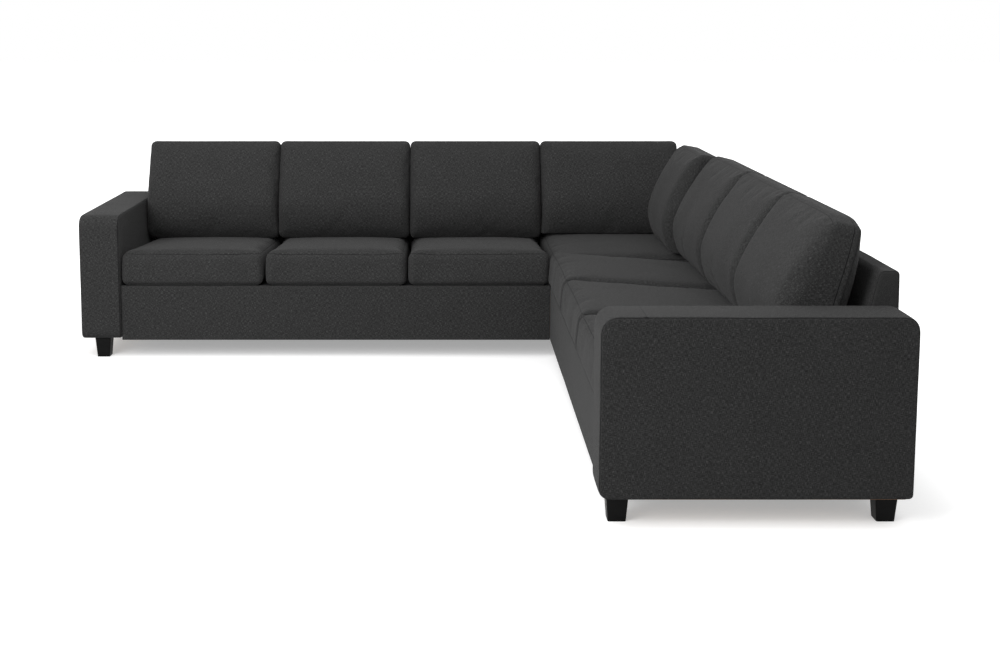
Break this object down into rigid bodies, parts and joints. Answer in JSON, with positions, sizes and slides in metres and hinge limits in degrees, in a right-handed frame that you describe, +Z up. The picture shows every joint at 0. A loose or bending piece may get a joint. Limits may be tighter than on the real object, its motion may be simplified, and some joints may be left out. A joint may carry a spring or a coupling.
{
  "type": "corner sofa",
  "caption": "Upholstered corner sofa with loose seat and back cushions, straight padded arms, a low back frame and short tapered feet.",
  "frame": {"origin": "on the floor, under the middle of the square that the sofa fills", "axes": "+Z up; the left wing runs along the rear, +Y, and the right wing along +X; seats of the left wing face -Y and those of the right wing -X"},
  "size_m": [2.88, 2.88, 0.8714],
  "materials": {
    "charcoal_upholstery": "woven melange cloth, matt",
    "timber": "sawn softwood and plywood",
    "hardboard": "smooth hardboard",
    "black_plastic": "satin black",
    "zinc_steel": "zinc plated",
    "elastic_webbing": "woven elastic strap",
    "deck_cloth": "black nonwoven cloth",
    "dust_cloth": "black nonwoven cloth"
  },
  "bodies": {
    "base": {"arm_bolts": "zinc_steel", "arm_nuts": "zinc_steel", "corner_back_cover_rear": "charcoal_upholstery", "corner_back_cover_side": "charcoal_upholstery", "corner_back_frame_rear": "timber", "corner_back_frame_side": "timber", "corner_base_frame": "timber", "corner_deck_cloth": "deck_cloth", "corner_dust_cover": "dust_cloth", "corner_seat_webbing": "elastic_webbing", "foot_bolts": "zinc_steel", "left_arm_cover": "charcoal_upholstery", "left_arm_frame": "timber", "left_arm_front_foot": "black_plastic", "left_arm_rear_foot": "black_plastic", "left_arm_side_boards": "hardboard", "left_back_cover": "charcoal_upholstery", "left_back_frame": "timber", "left_base_frame": "timber", "left_deck_cloth": "deck_cloth", "left_dust_cover": "dust_cloth", "left_front_rail_cover": "charcoal_upholstery", "left_seat_webbing": "elastic_webbing", "right_arm_cover": "charcoal_upholstery", "right_arm_frame": "timber", "right_arm_front_foot": "black_plastic", "right_arm_rear_foot": "black_plastic", "right_arm_side_boards": "hardboard", "right_back_cover": "charcoal_upholstery", "right_back_frame": "timber", "right_base_frame": "timber", "right_deck_cloth": "deck_cloth", "right_dust_cover": "dust_cloth", "right_front_rail_cover": "charcoal_upholstery", "right_seat_webbing": "elastic_webbing", "section_bolts": "zinc_steel", "section_nuts": "zinc_steel", "support_legs": "black_plastic"},
    "corner_seat_cushion": {"corner_seat_cushion": "charcoal_upholstery"},
    "left_seat_cushion_1": {"left_seat_cushion_1": "charcoal_upholstery"},
    "left_seat_cushion_2": {"left_seat_cushion_2": "charcoal_upholstery"},
    "left_seat_cushion_3": {"left_seat_cushion_3": "charcoal_upholstery"},
    "right_seat_cushion_1": {"right_seat_cushion_1": "charcoal_upholstery"},
    "right_seat_cushion_2": {"right_seat_cushion_2": "charcoal_upholstery"},
    "right_seat_cushion_3": {"right_seat_cushion_3": "charcoal_upholstery"},
    "corner_back_cushion_rear": {"corner_back_cushion_rear": "charcoal_upholstery"},
    "corner_back_cushion_side": {"corner_back_cushion_side": "charcoal_upholstery"},
    "left_back_cushion_1": {"left_back_cushion_1": "charcoal_upholstery"},
    "left_back_cushion_2": {"left_back_cushion_2": "charcoal_upholstery"},
    "left_back_cushion_3": {"left_back_cushion_3": "charcoal_upholstery"},
    "right_back_cushion_1": {"right_back_cushion_1": "charcoal_upholstery"},
    "right_back_cushion_2": {"right_back_cushion_2": "charcoal_upholstery"},
    "right_back_cushion_3": {"right_back_cushion_3": "charcoal_upholstery"}
  },
  "joints": [
    {"name": "corner_seat_cushion_lift", "type": "slide", "parent": "base", "child": "corner_seat_cushion", "axis": [0, 0, 1], "range_m": [0, 0.36]},
    {"name": "left_seat_cushion_1_lift", "type": "slide", "parent": "base", "child": "left_seat_cushion_1", "axis": [0, 0, 1], "range_m": [0, 0.36]},
    {"name": "left_seat_cushion_2_lift", "type": "slide", "parent": "base", "child": "left_seat_cushion_2", "axis": [0, 0, 1], "range_m": [0, 0.36]},
    {"name": "left_seat_cushion_3_lift", "type": "slide", "parent": "base", "child": "left_seat_cushion_3", "axis": [0, 0, 1], "range_m": [0, 0.36]},
    {"name": "right_seat_cushion_1_lift", "type": "slide", "parent": "base", "child": "right_seat_cushion_1", "axis": [0, 0, 1], "range_m": [0, 0.36]},
    {"name": "right_seat_cushion_2_lift", "type": "slide", "parent": "base", "child": "right_seat_cushion_2", "axis": [0, 0, 1], "range_m": [0, 0.36]},
    {"name": "right_seat_cushion_3_lift", "type": "slide", "parent": "base", "child": "right_seat_cushion_3", "axis": [0, 0, 1], "range_m": [0, 0.36]},
    {"name": "corner_back_cushion_rear_lift", "type": "slide", "parent": "corner_seat_cushion", "child": "corner_back_cushion_rear", "axis": [0, 0, 1], "range_m": [0, 0.31]},
    {"name": "corner_back_cushion_side_lift", "type": "slide", "parent": "corner_seat_cushion", "child": "corner_back_cushion_side", "axis": [0, 0, 1], "range_m": [0, 0.31]},
    {"name": "left_back_cushion_1_lift", "type": "slide", "parent": "left_seat_cushion_1", "child": "left_back_cushion_1", "axis": [0, 0, 1], "range_m": [0, 0.31]},
    {"name": "left_back_cushion_2_lift", "type": "slide", "parent": "left_seat_cushion_2", "child": "left_back_cushion_2", "axis": [0, 0, 1], "range_m": [0, 0.31]},
    {"name": "left_back_cushion_3_lift", "type": "slide", "parent": "left_seat_cushion_3", "child": "left_back_cushion_3", "axis": [0, 0, 1], "range_m": [0, 0.31]},
    {"name": "right_back_cushion_1_lift", "type": "slide", "parent": "right_seat_cushion_1", "child": "right_back_cushion_1", "axis": [0, 0, 1], "range_m": [0, 0.31]},
    {"name": "right_back_cushion_2_lift", "type": "slide", "parent": "right_seat_cushion_2", "child": "right_back_cushion_2", "axis": [0, 0, 1], "range_m": [0, 0.31]},
    {"name": "right_back_cushion_3_lift", "type": "slide", "parent": "right_seat_cushion_3", "child": "right_back_cushion_3", "axis": [0, 0, 1], "range_m": [0, 0.31]}
  ]
}
